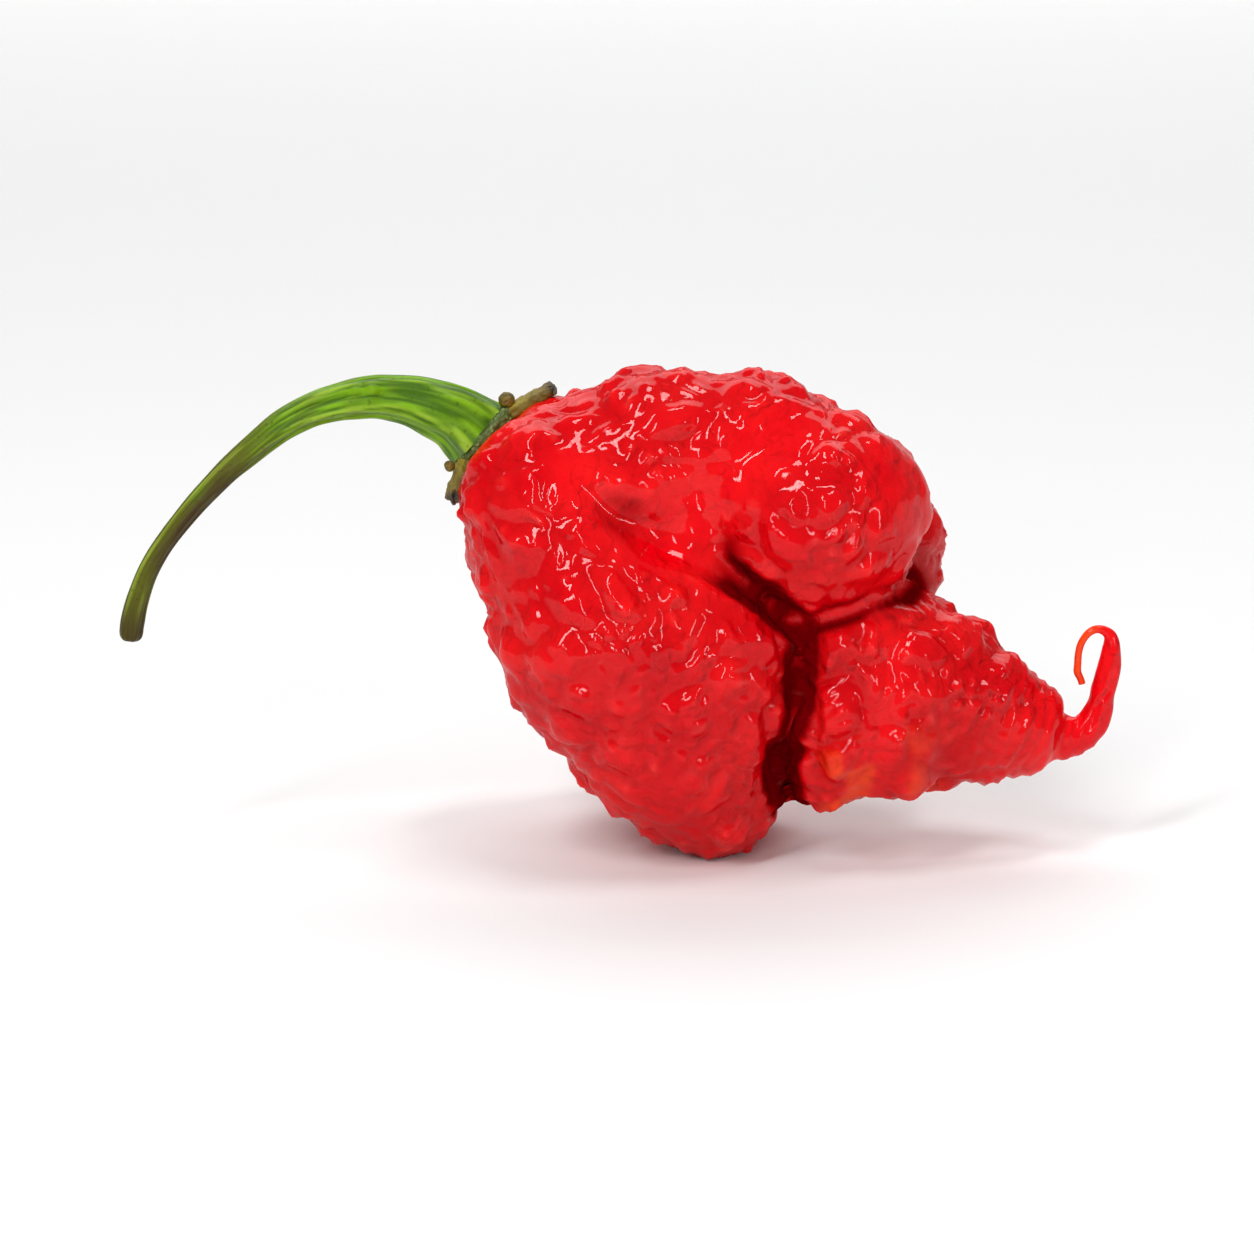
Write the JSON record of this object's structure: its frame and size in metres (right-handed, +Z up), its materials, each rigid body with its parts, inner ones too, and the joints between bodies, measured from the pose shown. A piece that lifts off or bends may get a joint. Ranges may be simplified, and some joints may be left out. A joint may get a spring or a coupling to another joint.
{
  "type": "carolina reaper pepper",
  "caption": "Lobed, blistered chilli pod with a hooked stinger tail, dried calyx and curved green stem, lying as picked.",
  "frame": {"origin": "middle of the small flat spot that the pod rests on, under its weight", "axes": "+X from the stem towards the stinger, +Y away from the side that the picture shows, +Z up"},
  "size_m": [0.0896, 0.0363, 0.0441],
  "materials": {
    "skin": "glossy waxy red skin, blistered, darker in the folds, orange under the tail",
    "calyx": "dull grey-green rim with dried olive and brown lobes",
    "stem": "satin green, ribbed, yellower at the calyx and dark brown at the cut end"
  },
  "bodies": {
    "root": {"pod": "skin", "calyx": "calyx", "stem": "stem"}
  },
  "joints": []
}
